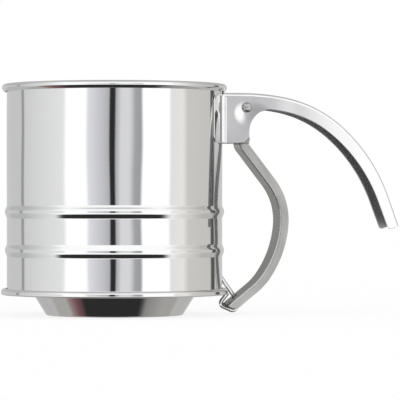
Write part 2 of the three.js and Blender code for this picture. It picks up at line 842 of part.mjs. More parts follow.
function makeLever() {
  const openSide = leftOf(footDirection);
  const place = (forward, open) =>
    footEnd.clone().addScaledVector(footDirection, forward).addScaledVector(openSide, open);
  const upper = place(-2 * footHoleInset, leverDepth);
  const corner = place(footTab, leverDepth);
  const lower = place(footTab, -overrun);
  const base = place(-2 * footHoleInset, -overrun);
  // The flanges reach past the end of the web, and their outer corner is rounded.
  const line = [...leverLine.slice(0, -1), place(footTab, 0)];
  const folded = toSolid(channel(line, leverWidth, leverDepth, leverSheet, leverBend, 1));
  const foot = rounded(
    [
      [base.x, base.y, 0],
      [lower.x, lower.y, 0],
      [corner.x, corner.y, leverFootRound],
      [upper.x, upper.y, 0],
    ],
    bendStep / 2,
  );
  const ample = [
    place(-footHoleInset, -overrun),
    place(footTab + overrun, -overrun),
    place(footTab + overrun, leverDepth + overrun),
    place(-footHoleInset, leverDepth + overrun),
  ];
  const trim = toSolid(upright(ample, leverWidth + overrun)).subtract(
    toSolid(upright(foot, leverWidth + 2 * overrun)),
  );
  const webGap = [
    place(0, -overrun),
    place(footTab + overrun, -overrun),
    place(footTab + overrun, leverDepth + overrun),
    place(0, leverDepth + overrun),
  ];
  const rodHole = plate(circle(footHoleRadius, smallSteps), -overrun, leverSheet + overrun)
    .rotateY(Math.PI / 2 - openSide.angle())
    .translate(footHole.x, 0, footHole.y);
  const lever = folded
    .subtract(trim)
    .subtract(toSolid(upright(webGap, leverWidth - 2 * leverSheet)))
    .subtract(toSolid(rodHole));
  return fromSolid(lever.add(makeEars()));
}

// The narrow neck of the lever: a short web and two ears that turn on the bush.
function makeEars() {
  const bendHeight = pivotHeight - leverNeckDrop;
  const earFoot = bendHeight + flangeStep + earNotch;
  const webInside = leverX + leverSheet;
  const centre = flat(pivotX, pivotHeight);
  const right = leverX + earDepth;
  const outline = [
    flat(leverX, earFoot),
    flat(right, earFoot),
    flat(right, pivotHeight - earWebDrop),
    ...trace(
      flat(centre.x + earRadius, centre.y),
      90,
      [{ turn: 180, radius: earRadius }],
      bendStep / 2,
    ),
    flat(leverX, pivotHeight - earRadius),
  ];
  const block = toSolid(upright(outline, earWidth));
  const room = rectangle(
    leverX - overrun - earRadius,
    earFoot - overrun,
    pivotX + 2 * earRadius,
    pivotHeight + 2 * earRadius,
  );
  const inside = toSolid(upright(room, earWidth - 2 * leverSheet));
  const neck = rectangle(leverX, bendHeight, webInside, pivotHeight - earWebDrop);
  const web = toSolid(upright(neck, earWidth));
  const hole = crossHole(bushRadius + runGap, earWidth + overrun, pivotX, pivotHeight);
  return block.subtract(inside).add(web).subtract(hole);
}

function makeRivet() {
  const face = armWidth / 2 + seatGap;
  const outline = [
    flat(0, -face - rivetTailHeight),
    flat(rivetTailRadius - rivetTailHeight / 2, -face - rivetTailHeight),
    flat(rivetTailRadius, -face - rivetTailHeight / 2),
    flat(rivetTailRadius, -face),
    flat(rivetRadius, -face),
    flat(rivetRadius, face),
    flat(rivetHeadRadius, face),
    ...dome(rivetHeadRadius, face, face + rivetHeadHeight),
  ];
  return closed(crossBar(outline, pivotX, pivotHeight));
}

// A torsion spring round the bush. One leg lies under the arm, the other on the lever's web.
function makeSpring() {
  const coil = bushRadius + runGap + springWire;
  const underside = shifted(armLine, -armSheet);
  const armEnd = flat(pivotX + springArmLeg, 0);
  armEnd.y = heightAt(underside, armEnd.x) - seatGap - springWire;
  const toArm = armEnd.clone().sub(flat(pivotX, pivotHeight));
  const armLeg = toArm.angle() - Math.asin(coil / toArm.length());
  const webEdge = flat(leverX + leverSheet + seatGap + springWire, pivotHeight - earWebDrop);
  const toWeb = webEdge.sub(flat(pivotX, pivotHeight));
  const leverLeg = toWeb.angle() + Math.asin(coil / toWeb.length());
  const from = armLeg + Math.PI / 2;
  const to = leverLeg - Math.PI / 2 + 2 * Math.PI * springTurns;
  const steps = Math.ceil(((to - from) / (2 * Math.PI)) * springSteps);
  const halfWidth = ((to - from) / (2 * Math.PI)) * springPitch * 0.5;
  const at = (angle, across, forward) => {
    const point = along(coil, angle).addScaledVector(leftOf(along(1, angle)), forward);
    return new THREE.Vector3(pivotX + point.x, across, pivotHeight + point.y);
  };
  const turns = Array.from({ length: steps + 1 }, (_, i) =>
    at(from + ((to - from) * i) / steps, halfWidth - (2 * halfWidth * i) / steps, 0),
  );
  const armTangent = Math.sqrt(toArm.lengthSq() - coil ** 2);
  const points = [at(from, halfWidth, -armTangent), ...turns, at(to, -halfWidth, springLeverLeg)];
  console.log(`return_spring: least gap to itself ${leastGap(points, springWire, 3 * coil).toFixed(2)} mm`);
  return closed(wire(points, springWire, springSides));
}

// Finishes
const polished = new THREE.MeshStandardMaterial({ color: 0xd2d3d4, metalness: 1, roughness: 0.08 });
const satin = new THREE.MeshStandardMaterial({ color: 0xb9babb, metalness: 1, roughness: 0.28 });
const brushed = new THREE.MeshStandardMaterial({ color: 0x9b9b98, metalness: 1, roughness: 0.42 });
const woven = new THREE.MeshStandardMaterial({ color: 0xa8a9aa, metalness: 1, roughness: 0.38 });
const drawnWire = new THREE.MeshStandardMaterial({ color: 0xc4c5c6, metalness: 1, roughness: 0.18 });

function named(name, geometry, material) {
  const mesh = new THREE.Mesh(geometry, material);
  mesh.name = name;
  return mesh;
}

// The agitator turns as one piece, and at rest its crank points back from the handle.
const agitator = new THREE.Group();
agitator.rotation.z = crankRest;
agitator.add(named("agitator_hub", makeHub(), satin));
for (let i = 0; i < bladeCount; i += 1) {
  const blade = named(`agitator_blade_${i + 1}`, makeBlade(), drawnWire);
  blade.rotation.z = (2 * Math.PI * (i + 0.5)) / bladeCount;
  agitator.add(blade);
}
const crankPin = named("crank_pin", makeCrankPin(), satin);
crankPin.position.x = crankRadius;
agitator.add(crankPin);

const rod = named("pull_rod", makeRod(), drawnWire);
rod.position.x = footHole.x;
rod.rotation.z = rodTurn;

const washerInside = pinRadius + seatGap;
const pivotWasherInside = bushRadius + seatGap;
const washerNear = earWidth / 2 + seatGap;
const washerFar = washerNear + pivotWasherThick;
const sleeve = (inner, outer, from, to) => closed(crossSleeve(inner, outer, from, to, pivotX, pivotHeight));
const bushHalf = armInside / 2 - seatGap;

const sifter = new THREE.Group();
sifter.add(
  named("cup_body", makeCup(), polished),
  named("base_funnel", makeBaseFunnel(), polished),
  named("sieve_mesh", makeScreen(), woven),
  named("support_bridge", makeBridge(), satin),
  named("centre_pin", makeCentrePin(), satin),
  named(
    "screen_washer",
    closed(tube(washerInside, screenWasherRadius, screenWasherBottom, screenWasherTop, smallSteps)),
    satin,
  ),
  named(
    "hub_washer",
    closed(tube(washerInside, hubWasherRadius, hubWasherBottom, hubWasherTop, smallSteps)),
    satin,
  ),
  agitator,
  rod,
  named("handle_arm", makeArm(), polished),
  named("squeeze_lever", makeLever(), brushed),
  named("pivot_rivet", makeRivet(), satin),
  named("pivot_bush", sleeve(rivetRadius + seatGap, bushRadius, -bushHalf, bushHalf), satin),
  named("pivot_washer_front", sleeve(pivotWasherInside, pivotWasherRadius, washerNear, washerFar), satin),
  named("pivot_washer_back", sleeve(pivotWasherInside, pivotWasherRadius, -washerFar, -washerNear), satin),
  named("return_spring", makeSpring(), drawnWire),
);

// The origin goes to the middle of the base of the box that holds the whole sifter.
sifter.updateMatrixWorld(true);
const box = new THREE.Box3().setFromObject(sifter, true);
sifter.position.set(-(box.min.x + box.max.x) / 2, -(box.min.y + box.max.y) / 2, 0);

export default sifter;
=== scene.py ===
import bpy
import math
from mathutils import Matrix, Vector


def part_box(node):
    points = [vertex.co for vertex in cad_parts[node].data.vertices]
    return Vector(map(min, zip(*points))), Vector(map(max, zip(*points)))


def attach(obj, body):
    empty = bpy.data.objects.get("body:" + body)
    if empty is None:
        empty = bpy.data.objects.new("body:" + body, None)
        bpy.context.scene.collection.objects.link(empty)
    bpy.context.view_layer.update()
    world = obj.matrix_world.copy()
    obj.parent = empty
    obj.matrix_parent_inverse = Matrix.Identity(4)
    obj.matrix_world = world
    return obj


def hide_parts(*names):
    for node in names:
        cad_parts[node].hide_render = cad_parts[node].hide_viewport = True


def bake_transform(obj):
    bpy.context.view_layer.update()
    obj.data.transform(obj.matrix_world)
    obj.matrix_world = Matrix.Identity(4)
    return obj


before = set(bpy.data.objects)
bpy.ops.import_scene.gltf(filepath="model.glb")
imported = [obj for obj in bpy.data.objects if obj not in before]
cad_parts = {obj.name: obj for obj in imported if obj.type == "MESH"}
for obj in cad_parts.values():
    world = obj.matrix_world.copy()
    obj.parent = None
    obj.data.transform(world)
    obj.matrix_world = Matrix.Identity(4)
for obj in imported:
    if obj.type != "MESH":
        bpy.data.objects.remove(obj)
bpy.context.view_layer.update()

# Sizes in millimetres, measured from the cup's axis and from the surface that the funnel stands on.
CUP_RADIUS, CUP_SHEET = 52.5, 0.5
SEAM_RADIUS, FLANGE_RADIUS = 55.4, 53.9
RIM_TOP, RIM_WIDE, RIM_TALL = 112.47, 1.45, 1.8
CUP_FLOOR, RING_UNDERSIDE, RING_TOP = 11.7, 10.0, 13.1
BASE_SHEET, FUNNEL_RADIUS, MOUTH_RADIUS, FOOT_RADIUS = 0.6, 39.5, 33.3, 31.4
# A bead: its middle's height, its foot's depth below that, its rise, the slope up to it, the width above it
LOWER_BEAD, UPPER_BEAD = (31.9, 3.4, 0.9, 0.386, 3.2), (50.7, 3.5, 1, 0.397, 3)
SCREEN_MIDDLE = 11.15
PIVOT = (64.8, 101.6)
FOOT_HOLE = (60.308, 8.476)
CRANK_RADIUS, CRANK_REST = 14.0, -117.67  # the second one in degrees
HUB_RADIUS, TONGUE_RADIUS = 11.5, 4.2
ROD_HEIGHT, ROD_TURN, ROD_WIRE = 19.5, 7.875, 1.02  # the second one in degrees
ARM_WIDTH, LEVER_WIDTH, EAR_WIDTH = 15.8, 13.6, 11.6
STRIP_SHEET = 1  # of the arm, the lever and the bridge
CHEEK_FOOT, CHEEK_LENGTH, WING_TOP = 84, 13.6, 106.8
WING_STEP, WING_END = 27.6, 40  # in degrees round the cup
ROUND_STEPS, CUP_STEPS = 48, 180

# The outside lines of the arm's and the lever's webs: runs (length,) and turns (degrees to the left, radius)
ARM_START = (CUP_RADIUS, 108.7)
ARM_MOVES = [(11.5,), (-11, 109), (-30.5, 63.5), (-28.5, 84), (15.5,)]
LEVER_X = CUP_RADIUS + 9.05
LEVER_START, LEVER_HEADING = (LEVER_X, 83.7), -89
LEVER_MOVES = [(0.3,), (37, 4.8), (21.7,), (-42.5, 27.9), (-30.2, 48.1), (-16.6, 28.6), (15.8,)]

cup_low, cup_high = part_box("cup_body")
AXIS_X = (cup_low[0] + cup_high[0]) / 2


def place(x, y, z):
    """A point in metres, from millimetres round the cup's axis."""
    return Vector((x / 1000 + AXIS_X, y / 1000, z / 1000))


AXIS_FOOT = place(0, 0, 0)


# Lines, drawn flat in millimetres
def along(length, degrees):
    """A step of a length in a direction."""
    return Vector((length * math.cos(math.radians(degrees)), length * math.sin(math.radians(degrees))))


def left_of(direction):
    """The same step turned a quarter to the left."""
    return Vector((-direction.y, direction.x))


def trace(start, heading, moves, step):
    """A line of runs (length,) and turns (degrees to the left, radius)."""
    points = [Vector(start)]
    for move in moves:
        here = points[-1]
        if len(move) == 1:
            points.append(here + along(move[0], heading))
            continue
        turn, radius = move
        side = math.copysign(radius, turn)
        centre = here + left_of(along(1, heading)) * side
        steps = max(1, math.ceil(abs(turn) / step))
        for i in range(1, steps + 1):
            points.append(centre - left_of(along(1, heading + turn * i / steps)) * side)
        heading += turn
    return points


def rounded(corners, step, open_line=False):
    """A line through corners (x, y, radius), each rounded by an arc in steps of so many degrees."""
    points = []
    count = len(corners)
    for i, (x, y, radius) in enumerate(corners):
        corner = Vector((x, y))
        if radius == 0 or (open_line and i in (0, count - 1)):
            points.append(corner)
            continue
        before = Vector(corners[i - 1][:2])
        after = Vector(corners[(i + 1) % count][:2])
        arrive = (corner - before).normalized()
        leave = (after - corner).normalized()
        turn = math.degrees(math.atan2(arrive.x * leave.y - arrive.y * leave.x, arrive.dot(leave)))
        start = corner - arrive * radius * math.tan(math.radians(abs(turn) / 2))
        points += trace(start, math.degrees(math.atan2(arrive.y, arrive.x)), [(turn, radius)], step)
    return points


def shifted(points, distance):
    """The same line moved to its left, with mitred corners."""
    moved = []
    for i, point in enumerate(points):
        before = (point - points[i - 1]).normalized() if i else None
        after = (points[i + 1] - point).normalized() if i < len(points) - 1 else None
        first = left_of(before if before is not None else after)
        second = left_of(after if after is not None else before)
        moved.append(point + (first + second) * (distance / (1 + first.dot(second))))
    return moved


def sheet_outline(points, thickness):
    """The outline of a sheet that lies to the left of a line, or to its right where thickness is negative."""
    return points + shifted(points, thickness)[::-1]


def circle(radius, steps, x=0, y=0):
    return [along(radius, 360 * i / steps) + Vector((x, y)) for i in range(steps)]


def box_outline(left, low, right, high):
    return [Vector((left, low)), Vector((right, low)), Vector((right, high)), Vector((left, high))]


def dome(radius, shoulder, top, steps=8):
    """A dome's outline of (radius, height), from above its shoulder up to the axis."""
    return [(radius * math.cos(math.pi / 2 * i / steps) if i < steps else 0,
             shoulder + (top - shoulder) * math.sin(math.pi / 2 * i / steps)) for i in range(1, steps + 1)]


def crossing(line, x):
    """The first point of a line past x, as its place in the list, and the line's height at x."""
    after = next(i for i, point in enumerate(line) if point.x > x)
    a, b = line[after - 1], line[after]
    return after, a.y + (b.y - a.y) * (x - a.x) / (b.x - a.x)


# Modelling
def pick(*pieces):
    """Selects these pieces alone, in object mode, and makes the first one active."""
    if bpy.context.mode != "OBJECT":
        bpy.ops.object.mode_set(mode="OBJECT")
    bpy.ops.object.select_all(action="DESELECT")
    for piece in pieces:
        piece.select_set(True)
    bpy.context.view_layer.objects.active = pieces[0]


def edit(piece, choice="SELECT"):
    """Enters edit mode on one piece with its whole mesh selected, or none of it."""
    pick(piece)
    bpy.ops.object.mode_set(mode="EDIT")
    bpy.ops.mesh.select_all(action=choice)


def extrude(step):
    bpy.ops.mesh.extrude_region_move(TRANSFORM_OT_translate={"value": step})


def start_at(name, point):
    """A new mesh that is one selected vertex, in edit mode."""
    bpy.ops.object.select_all(action="DESELECT")
    bpy.ops.mesh.primitive_plane_add(size=0.001, location=point)
    piece = bpy.context.object
    piece.name = piece.data.name = name
    bpy.ops.object.mode_set(mode="EDIT")
    bpy.ops.mesh.merge(type="CENTER")
    return piece


def draw(name, points, closed):
    """A line drawn vertex by vertex, left in edit mode with the whole line selected."""
    piece = start_at(name, points[0])
    bpy.ops.mesh.select_mode(type="VERT")
    for before, after in zip(points, points[1:]):
        extrude(after - before)
    bpy.ops.mesh.select_all(action="SELECT")
    if closed:
        bpy.ops.object.mode_set(mode="OBJECT")
        for vertex in piece.data.vertices:
            vertex.select = vertex.index in (0, len(points) - 1)
        for edge in piece.data.edges:
            edge.select = False
        bpy.ops.object.mode_set(mode="EDIT")
        bpy.ops.mesh.edge_face_add()
        bpy.ops.mesh.select_all(action="SELECT")
    return piece


def settle(piece):
    """Leaves edit mode with the place in the mesh and the object at the origin."""
    pick(piece)
    bpy.ops.object.transform_apply(location=True, rotation=True, scale=True)
    return piece


def put_in_order():
    """Sorts the selected mesh by its distance from a point off to one side, so that each run is the same."""
    bpy.context.scene.cursor.location = (0.31, 0.17, 0.23)
    bpy.ops.mesh.sort_elements(type="CURSOR_DISTANCE", elements={"VERT", "EDGE", "FACE"})


def fill_open_ends():
    bpy.ops.mesh.select_all(action="DESELECT")
    bpy.ops.mesh.select_mode(type="EDGE")
    bpy.ops.mesh.select_non_manifold(extend=False)
    bpy.ops.mesh.fill_holes(sides=0)
    bpy.ops.mesh.select_mode(type="VERT")


def close_up(piece):
    """Merges doubles, fills open ends and turns the faces out."""
    bpy.ops.mesh.select_all(action="SELECT")
    bpy.ops.mesh.remove_doubles(threshold=2e-6)
    fill_open_ends()
    bpy.ops.mesh.select_all(action="SELECT")
    bpy.ops.mesh.normals_make_consistent(inside=False)
    put_in_order()
    return settle(piece)


def modify(piece, kind, **settings):
    """Adds a modifier and applies it."""
    pick(piece)
    modifier = piece.modifiers.new(kind.title(), kind)
    for key, value in settings.items():
        setattr(modifier, key, value)
    bpy.ops.object.modifier_apply(modifier=modifier.name)
    return piece


def combine(piece, other, operation):
    """Joins, cuts or intersects with another piece, which is used up."""
    modify(piece, "BOOLEAN", object=other, operation=operation, solver="EXACT")
    bpy.data.objects.remove(other, do_unlink=True)
    edit(piece)
    put_in_order()
    bpy.ops.object.mode_set(mode="OBJECT")
    return piece


def smooth(piece, degrees=35):
    """Shades smooth, but for the edges that turn by more than so many degrees."""
    pick(piece)
    bpy.ops.object.shade_smooth_by_angle(angle=math.radians(degrees))
    return piece


def ease_edges(piece, width, degrees=40, segments=2):
    """Breaks the sharp edges, as tumbling does, once the cuts' needless points are gone.

    Where eased edges meet, the bevel can throw a point out, so all points are kept in the piece's own box.
    """
    same_point, nearly_flat = 2e-5, math.radians(0.4)
    edit(piece)
    put_in_order()
    bpy.ops.mesh.remove_doubles(threshold=same_point)
    bpy.ops.mesh.dissolve_limited(angle_limit=nearly_flat)
    put_in_order()
    bpy.ops.object.mode_set(mode="OBJECT")
    spots = [vertex.co.copy() for vertex in piece.data.vertices]
    low, high = [[limit(spot[axis] for spot in spots) for axis in range(3)] for limit in (min, max)]
    modify(piece, "BEVEL", width=width / 1000, segments=segments, limit_method="ANGLE",
           angle_limit=math.radians(degrees), use_clamp_overlap=False)
    for vertex in piece.data.vertices:
        for axis in range(3):
            vertex.co[axis] = min(max(vertex.co[axis], low[axis]), high[axis])
    return piece


def keep_flats(piece):
    """Lets the large faces rule the shading, so that flats look flat up to their eased edges."""
    return modify(piece, "WEIGHTED_NORMAL", mode="FACE_AREA", weight=50, keep_sharp=True)


def mark_inside(piece, half_width, opening, outside):
    """Marks the faces inside a channel to take the painted shade and the duller finish in full, and the
    others by outside's share.
    """
    inside = piece.data.attributes.new("inside", "FLOAT", "FACE")
    for face in piece.data.polygons:
        across = face.center.y * 1000
        wall = abs(face.normal.y) > 0.7 and face.normal.y * across < 0
        web = abs(face.normal.y) < 0.5 and face.normal.dot(opening) > 0.25
        hidden = abs(across) < half_width + 0.05 and (wall or web)
        inside.data[face.index].value = 1.0 if hidden else outside(face)
    return piece


def lay_brushing(piece, line):
    """Stores every point's place along and across a bent strip, in metres, for the finish to follow."""
    path = [place(point.x, 0, point.y) for point in line]
    brushed = piece.data.attributes.new("brushed", "FLOAT_VECTOR", "POINT")
    for vertex in piece.data.vertices:
        spot = Vector((vertex.co.x, 0, vertex.co.z))
        before, nearest, along_at = 0, math.inf, 0
        for start, end in zip(path, path[1:]):
            step = end - start
            share = min(max((spot - start).dot(step) / step.length_squared, 0), 1)
            away = (spot - start - step * share).length
            if away < nearest:
                nearest, along_at = away, before + share * step.length
            before += step.length
        brushed.data[vertex.index].vector = (along_at, nearest, vertex.co.y)
    return piece


def turned(name, outline, steps, centre=(0, 0), lying=None):
    """A body turned from an outline of (radius, height): round Z at a centre, or round Y at lying=(x, z)."""
    if lying:
        points = [place(lying[0] + radius, -height, lying[1]) for radius, height in outline]
        middle, axis = place(lying[0], 0, lying[1]), (0, 1, 0)
    else:
        points = [place(centre[0] + radius, centre[1], height) for radius, height in outline]
        middle, axis = place(centre[0], centre[1], 0), (0, 0, 1)
    on_axis = outline[0][0] == 0
    piece = draw(name, points, closed=not on_axis)
    bpy.ops.mesh.spin(steps=steps, angle=2 * math.pi, center=middle, axis=axis)
    return close_up(piece)


def plate(name, outline, low, high, facing="Z"):
    """A plate from an outline as seen from above (facing Z), from the side (Y) or from the handle (X)."""
    points = []
    for spot in outline:
        spot = list(spot)
        spot.insert("XYZ".index(facing), low)
        points.append(place(*spot))
    piece = draw(name, points, closed=True)
    bpy.ops.mesh.edge_face_add()
    extrude([(high - low) / 1000 if axis == facing else 0 for axis in "XYZ"])
    return close_up(piece)


def wire(name, points, radius, resolution=4):
    """A round wire along points in metres."""
    settle(draw(name, points, closed=False))
    bpy.ops.object.convert(target="CURVE")
    curve = bpy.context.object
    curve.data.bevel_depth = radius / 1000
    curve.data.bevel_resolution = resolution
    curve.data.use_fill_caps = True
    bpy.ops.object.convert(target="MESH")
    piece = bpy.context.object
    piece.name = piece.data.name = name
    bpy.ops.object.mode_set(mode="EDIT")
    return close_up(piece)


def channel(name, start, heading, moves, width, depth, sheet, bend, side, step):
    """A folded channel swept along a line in the middle plane, the outside of its web.

    Its flanges reach to the line's left where side is 1, and to its right where side is -1.
    """
    half = width / 2
    section = rounded([
        (0, -half, bend), (0, half, bend), (side * depth, half, 0), (side * depth, half - sheet, 0),
        (side * sheet, half - sheet, bend - sheet), (side * sheet, sheet - half, bend - sheet),
        (side * depth, sheet - half, 0), (side * depth, -half, 0),
    ], 15)
    here = Vector(start)
    across = left_of(along(1, heading))
    points = [place(here.x + across.x * a, b, here.y + across.y * a) for a, b in section]
    piece = draw(name, points, closed=True)
    for move in moves:
        if len(move) == 1:
            ahead = along(move[0], heading)
            extrude(Vector((ahead.x, 0, ahead.y)) / 1000)
            here = here + ahead
            continue
        turn, radius = move
        offset = left_of(along(1, heading)) * math.copysign(radius, turn)
        centre = here + offset
        bpy.ops.mesh.spin(steps=max(1, math.ceil(abs(turn) / step)), angle=math.radians(turn),
                          center=place(centre.x, 0, centre.y), axis=(0, 1, 0))
        heading += turn
        here = centre - left_of(along(1, heading)) * math.copysign(radius, turn)
    return close_up(piece)


# Pieces
def make_cup():
    """The drawn shell with its flange, two beads and rolled rim, and the slot that the rod comes out of."""
    lead = 0.3

    def bead(middle, foot, rise, slope, width, steps=10):
        """A bead: an even slope up from its foot to the crest, and a softer one above."""
        crest = CUP_RADIUS + rise
        line = rounded([(CUP_RADIUS, middle - foot - lead, 0), (CUP_RADIUS, middle - foot, 1.2),
                        (crest, middle - foot + rise / slope, 3), (crest, middle, 0)], 3, open_line=True)
        for i in range(1, steps + 1):
            line.append(Vector((CUP_RADIUS + rise * (1 + math.cos(math.pi * i / steps)) / 2,
                                middle + i / steps * width)))
        return line

    def wall(low, high, swell, steps=8):
        """A stretch of wall that swells a little between two stiff edges."""
        places = [i / steps for i in range(1, steps)]
        return [Vector((CUP_RADIUS + 4 * swell * p * (1 - p), low + (high - low) * p)) for p in places]

    line = rounded([(FLANGE_RADIUS, CUP_FLOOR + CUP_SHEET, 0), (CUP_RADIUS, CUP_FLOOR + CUP_SHEET, 0.5),
                    (CUP_RADIUS, RIM_TOP, 0)], 20, open_line=True)[:-1]
    low = line[-1].y
    for (middle, foot, rise, slope, width), swell in ((LOWER_BEAD, 0.04), (UPPER_BEAD, 0.05)):
        line += wall(low, middle - foot - lead, swell) + bead(middle, foot, rise, slope, width)
        low = middle + width
    roll_wide, roll_tall = RIM_WIDE - CUP_SHEET, RIM_TALL - CUP_SHEET
    roll_middle = Vector((CUP_RADIUS + roll_wide, RIM_TOP - RIM_TALL))
    line += wall(low, roll_middle.y, 0.1, 16)
    for degrees in range(180, -1, -10):
        turn = math.radians(degrees)
        line.append(roll_middle + Vector((roll_wide * math.cos(turn), roll_tall * math.sin(turn))))
    tucked = ((0.95, -0.1), (0.89, -0.32), (0.44, -0.95), (0, -1.56))
    line += [roll_middle + Vector(step) for step in tucked]
    cup = turned("cup_shell", sheet_outline(line, CUP_SHEET), CUP_STEPS)
    slot = rounded([(*corner, 1) for corner in box_outline(-4.75, 15.98, 0.55, 21.42)], 10)
    combine(cup, plate("rod_slot", slot, 50, 55, "X"), "DIFFERENCE")
    return smooth(cup, 40)


def make_base():
    """The ring that is crimped round the cup's flange, the funnel, and the foot turned in at its mouth."""
    line = rounded([
        (CUP_RADIUS + 0.7, RING_TOP, 0), (SEAM_RADIUS, RING_TOP, 1.5), (SEAM_RADIUS, RING_UNDERSIDE, 0.8),
        (FUNNEL_RADIUS, RING_UNDERSIDE, 1.5), (MOUTH_RADIUS, 0, 1.2), (FOOT_RADIUS, 0, 0),
    ], 10, open_line=True)
    return smooth(turned("base_and_funnel", sheet_outline(line, -BASE_SHEET), CUP_STEPS), 50)


def make_screen():
    """Plain-woven wire cloth: each wire passes over and under the ones that cross it."""
    pitch, radius, lift, reach, bore = 1.5, 0.125, 0.12, 53.8, 2.2
    half = math.ceil(reach / pitch)

    def strand(name, phase, lengthwise):
        points = []
        for i in range(-2 * half, 2 * half + 1):
            s = i * pitch / 2
            z = SCREEN_MIDDLE + phase * lift * math.cos(math.pi * s / pitch)
            points.append(place(s, 0, z) if lengthwise else place(0, s, z))
        return wire(name, points, radius, resolution=0)

    def aside(distance, lengthwise):
        return (0, distance / 1000, 0) if lengthwise else (distance / 1000, 0, 0)

    layers = []
    for lengthwise, sense in ((True, 1), (False, -1)):
        pair = []
        for k, phase in enumerate((sense, -sense)):
            thread = strand(f"thread_{len(layers)}_{k}", phase, lengthwise)
            edit(thread)
            bpy.ops.transform.translate(value=aside((k - half) * pitch, lengthwise))
            pair.append(settle(thread))
        pick(*pair)
        bpy.ops.object.join()
        modify(pair[0], "ARRAY", count=half + 1, use_relative_offset=False, use_constant_offset=True,
               constant_offset_displace=aside(2 * pitch, lengthwise))
        layers.append(pair[0])
    pick(*layers)
    bpy.ops.object.join()
    cloth = layers[0]
    cloth.name = cloth.data.name = "woven_screen"
    edit(cloth, "DESELECT")
    bpy.ops.object.mode_set(mode="OBJECT")
    for vertex in cloth.data.vertices:
        away = math.hypot(vertex.co.x - AXIS_FOOT.x, vertex.co.y - AXIS_FOOT.y) * 1000
        vertex.select = away > reach or away < bore
    bpy.ops.object.mode_set(mode="EDIT")
    bpy.ops.mesh.delete(type="VERT")
    bpy.ops.mesh.select_all(action="SELECT")
    bpy.ops.mesh.delete_loose()
    fill_open_ends()
    return smooth(cloth, 60)


def make_bridge():
    """A strip across the funnel, under the screen, with its ends bent down along the cone."""
    top, leg, clearance, half_width, bend = 10.6, 5, 0.3, 4.5, 1.6
    fall = Vector((MOUTH_RADIUS - FUNNEL_RADIUS, -RING_UNDERSIDE)).normalized()
    inner = Vector((FUNNEL_RADIUS, RING_UNDERSIDE)) - left_of(fall) * (BASE_SHEET + clearance)
    corner = inner + fall * ((top - inner.y) / fall.y)
    foot = corner + fall * leg
    line = rounded([(-foot.x, foot.y, 0), (-corner.x, corner.y, bend), (corner.x, corner.y, bend),
                    (foot.x, foot.y, 0)], 8, open_line=True)
    bridge = plate("bridge_strip", sheet_outline(line, -STRIP_SHEET), -half_width, half_width, "X")
    combine(bridge, plate("bridge_hole", circle(2.2, 32), 5, 15), "DIFFERENCE")
    ease_edges(bridge, 0.15)
    return smooth(bridge)


def make_centre_pin():
    outline = [(0, 8.3), (2.7, 8.3), (3.15, 8.45), (3.4, 8.9), (3.4, 9.3), (1.9, 9.3), (1.9, 16.5),
               (3.75, 16.5), (4, 16.7), (4, 17)] + dome(4, 17, 18.2)
    return smooth(turned("centre_pin_turned", outline, ROUND_STEPS))


def make_washer(name, inner, outer, low, high, ease=0.12, lying=None):
    """A washer or bush with its edges broken, flat round the cup's axis or lying round the pivot."""
    outline = [(inner, low + ease), (inner + ease, low), (outer - ease, low), (outer, low + ease),
               (outer, high - ease), (outer - ease, high), (inner + ease, high), (inner, high - ease)]
    return smooth(turned(name, outline, ROUND_STEPS, lying=lying))


def make_hub():
    """A disc with the crank's tongue, cut from plate, with a boss under it."""
    wrap = math.degrees(math.acos((HUB_RADIUS - TONGUE_RADIUS) / CRANK_RADIUS))
    disc_steps, tongue_steps = 40, 16
    disc = [along(HUB_RADIUS, wrap + (360 - 2 * wrap) * i / disc_steps) for i in range(disc_steps + 1)]
    tongue = [along(TONGUE_RADIUS, -wrap + 2 * wrap * i / tongue_steps) + Vector((CRANK_RADIUS, 0))
              for i in range(tongue_steps + 1)]
    cosine, sine = math.cos(math.radians(CRANK_REST)), math.sin(math.radians(CRANK_REST))
    outline = [Vector((p.x * cosine - p.y * sine, p.x * sine + p.y * cosine)) for p in disc + tongue]
    hub = plate("hub_plate", outline, 14.1, 15.3)
    boss = [(1, 12.8), (3.9, 12.8), (3.9, 14.6), (1, 14.6)]
    combine(hub, turned("hub_boss", boss, ROUND_STEPS), "UNION")
    combine(hub, plate("hub_bore", circle(2.25, 40), 10, 20), "DIFFERENCE")
    crank = along(CRANK_RADIUS, CRANK_REST)
    combine(hub, plate("hub_eye", circle(1.8, 32, crank.x, crank.y), 10, 20), "DIFFERENCE")
    ease_edges(hub, 0.25, 50, 3)
    return smooth(hub)


def make_crank_pin():
    crank = along(CRANK_RADIUS, CRANK_REST)
    outline = [(0, 13), (2.1, 13), (2.5, 13.3), (2.5, 13.8), (1.5, 13.8), (1.5, 15.6), (2.35, 15.6),
               (2.5, 15.75), (2.5, 17.85), (2.35, 18), (1.5, 18), (1.5, 21.42), (3.4, 21.42),
               (3.6, 21.55)] + dome(3.6, 21.6, 22.6)
    return smooth(turned("crank_pin_turned", outline, ROUND_STEPS, centre=crank))


def make_blade(index):
    """One of the wires under the hub: straight out over the screen, its end bent up short of the wall."""
    line = trace((5.8, 12.8), 0, [(38.8,), (70, 3), (1,)], 7)
    direction = along(1, CRANK_REST + 360 * (index - 0.5) / 4)
    points = [place(direction.x * p.x, direction.y * p.x, p.y) for p in line]
    return smooth(wire(f"blade_wire_{index}", points, 1), 50)


